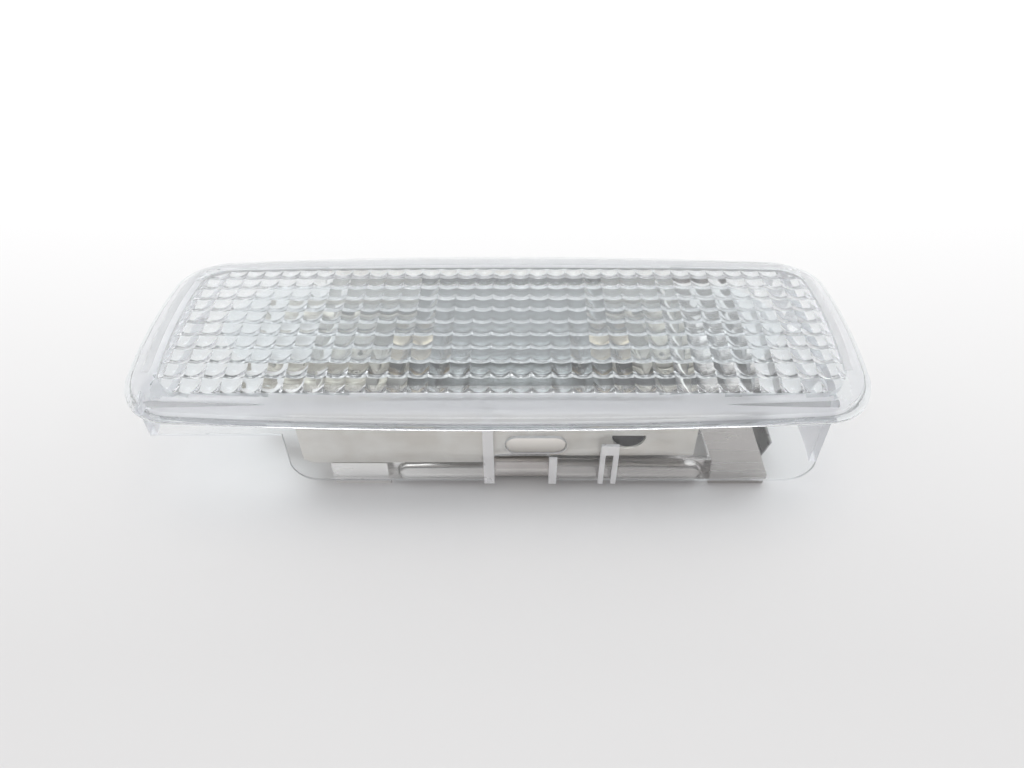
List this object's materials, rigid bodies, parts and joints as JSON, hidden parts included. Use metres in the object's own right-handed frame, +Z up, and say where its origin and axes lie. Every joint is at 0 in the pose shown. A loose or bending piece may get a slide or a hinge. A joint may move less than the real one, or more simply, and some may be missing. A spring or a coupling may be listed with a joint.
{
  "type": "car interior dome light",
  "caption": "Long car interior lamp with a clear pillow-optic lens and housing in one moulding, a sheet-metal carrier with a festoon bulb, and a pressed bracket with a leaf spring.",
  "frame": {"origin": "on the table under the middle of the lens face, level with the undersides of the bracket's feet", "axes": "+X along the lamp towards the leaf spring end, +Y across it away from the pictured long side, +Z up through the lens"},
  "size_m": [0.1222, 0.0458, 0.0245],
  "materials": {
    "clear_plastic": "clear polycarbonate, polished outside, pillow optics inside",
    "tinned_steel": "tin-plated sheet steel with a warm grey bloom",
    "bright_aluminium": "bright anodised sheet",
    "bulb_glass": "clear blown glass",
    "cap_nickel": "nickel-plated brass",
    "tungsten": "drawn tungsten",
    "nickel_wire": "drawn nickel wire",
    "phosphor_bronze": "rolled strip",
    "brass": "rolled strip",
    "black_fibre": "pressed laminate",
    "bright_steel": "nickel-plated sheet steel",
    "spring_steel": "hardened strip"
  },
  "bodies": {
    "lamp": {"lens_housing": "clear_plastic", "carrier": "tinned_steel", "reflector": "bright_aluminium", "bulb_glass": "bulb_glass", "bulb_cap_left": "cap_nickel", "bulb_cap_right": "cap_nickel", "filament": "tungsten", "filament_leads": "nickel_wire", "contact_left": "phosphor_bronze", "contact_right": "phosphor_bronze", "terminal_left": "brass", "terminal_right": "brass", "insulator": "black_fibre", "insulator_washer": "black_fibre", "contact_rivets": "brass", "bracket": "bright_steel"},
    "spring": {"leaf_spring": "spring_steel"}
  },
  "joints": [
    {"name": "leaf_flex", "type": "hinge", "parent": "lamp", "child": "spring", "pos_m": [0.0456, 0, 0.001], "axis": [0, 1, 0], "range_deg": [-7, 0], "stiffness_Nm_per_rad": 0.8}
  ]
}
